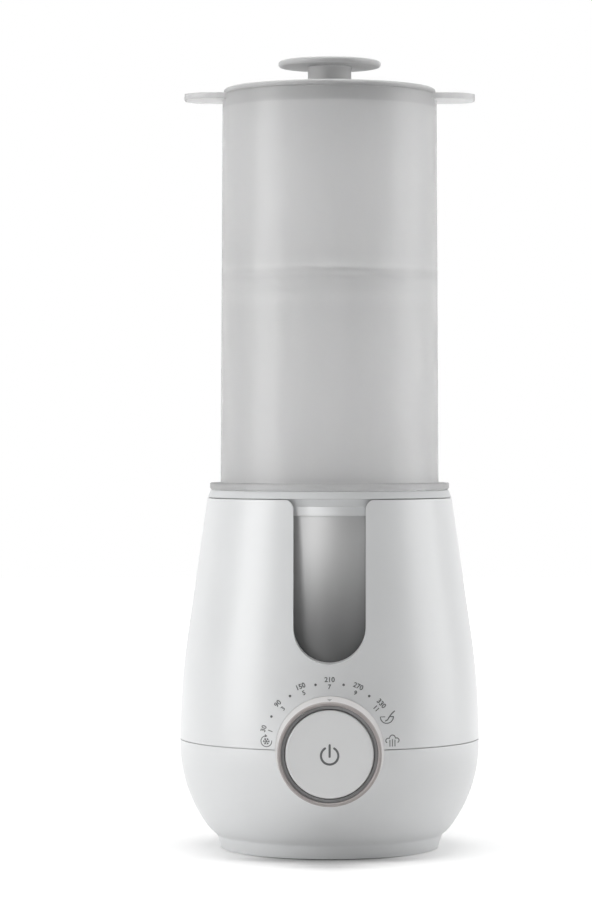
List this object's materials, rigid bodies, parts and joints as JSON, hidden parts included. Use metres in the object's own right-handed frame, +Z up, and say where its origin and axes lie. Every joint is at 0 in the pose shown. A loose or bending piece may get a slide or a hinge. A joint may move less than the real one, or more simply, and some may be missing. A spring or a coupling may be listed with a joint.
{
  "type": "bottle warmer sterilizer",
  "caption": "Round heated base with a dial, view slot and water bowl, under a frosted steam tower with ears, an inner tray and a mushroom-knob lid.",
  "frame": {"origin": "on the tower axis, at the table on which the foot ring stands", "axes": "+Z up along the tower axis, -Y towards the dial, +X to the viewer's right"},
  "size_m": [0.14, 0.158, 0.3683],
  "materials": {
    "white_plastic": "satin white",
    "dark_plastic": "fine texture",
    "rubber": "matte",
    "steel": "zinc plated",
    "pale_plastic": "satin pale grey",
    "smoky_plastic": "smoky translucent",
    "silicone": "soft",
    "plate_metal": "turned",
    "element_metal": "matte grey sheath",
    "brass": "plain",
    "guide_plastic": "tinted",
    "board": "solder mask",
    "black_parts": "moulded",
    "led": "clear yellow",
    "winding": "tape",
    "relay_blue": "moulded",
    "terminal_green": "moulded",
    "trim_plastic": "satin warm grey",
    "button_plastic": "fine satin",
    "frosted_plastic": "frosted translucent",
    "lid_plastic": "frosted translucent",
    "tray_plastic": "plain"
  },
  "bodies": {
    "base": {"upper_housing": "white_plastic", "lower_housing": "white_plastic", "bottom_cover": "dark_plastic", "foot_ring": "rubber", "case_screws": "steel", "rim_ring": "pale_plastic", "water_bowl": "smoky_plastic", "bowl_gasket": "silicone", "heating_plate": "plate_metal", "heater_element": "element_metal", "clamp_ring": "steel", "clamp_screws": "steel", "thermostat": "dark_plastic", "temperature_sensor": "brass", "dial_seat": "white_plastic", "light_guide": "guide_plastic", "control_board": "board", "board_screws": "steel", "tact_switch": "black_parts", "ring_leds": "led", "hall_sensor": "black_parts", "control_chip": "black_parts", "power_board": "board", "power_board_screws": "steel", "transformer": "winding", "power_relay": "relay_blue", "filter_capacitor": "black_parts", "terminal_block": "terminal_green", "cord_gland": "rubber", "button_spring": "steel"},
    "dial": {"dial_ring": "white_plastic", "dial_trim": "trim_plastic", "encoder_magnet": "black_parts"},
    "button": {"power_button": "button_plastic"},
    "tower": {"tower_sleeve": "frosted_plastic"},
    "lid": {"lid_plate": "lid_plastic", "lid_knob": "lid_plastic", "lid_screw": "steel"},
    "tray": {"small_parts_tray": "tray_plastic"},
    "stand": {"bottle_stand": "tray_plastic"}
  },
  "joints": [
    {"name": "dial_turn", "type": "hinge", "parent": "base", "child": "dial", "pos_m": [0, -0.07, 0.0514], "axis": [0, -1, 0], "range_deg": [-77.5, 77.5]},
    {"name": "button_press", "type": "slide", "parent": "base", "child": "button", "axis": [0, 1, 0], "range_m": [0, 0.0012], "stiffness_N_per_m": 900, "springref_m": -0.001, "deforming": ["button_spring"]},
    {"name": "tower_lift", "type": "slide", "parent": "base", "child": "tower", "axis": [0, 0, 1], "range_m": [0, 0.2]},
    {"name": "lid_lift", "type": "slide", "parent": "tower", "child": "lid", "axis": [0, 0, 1], "range_m": [0, 0.06]},
    {"name": "tray_lift", "type": "slide", "parent": "tower", "child": "tray", "axis": [0, 0, 1], "range_m": [0, 0.07]},
    {"name": "stand_lift", "type": "slide", "parent": "base", "child": "stand", "axis": [0, 0, 1], "range_m": [0, 0.15]}
  ]
}
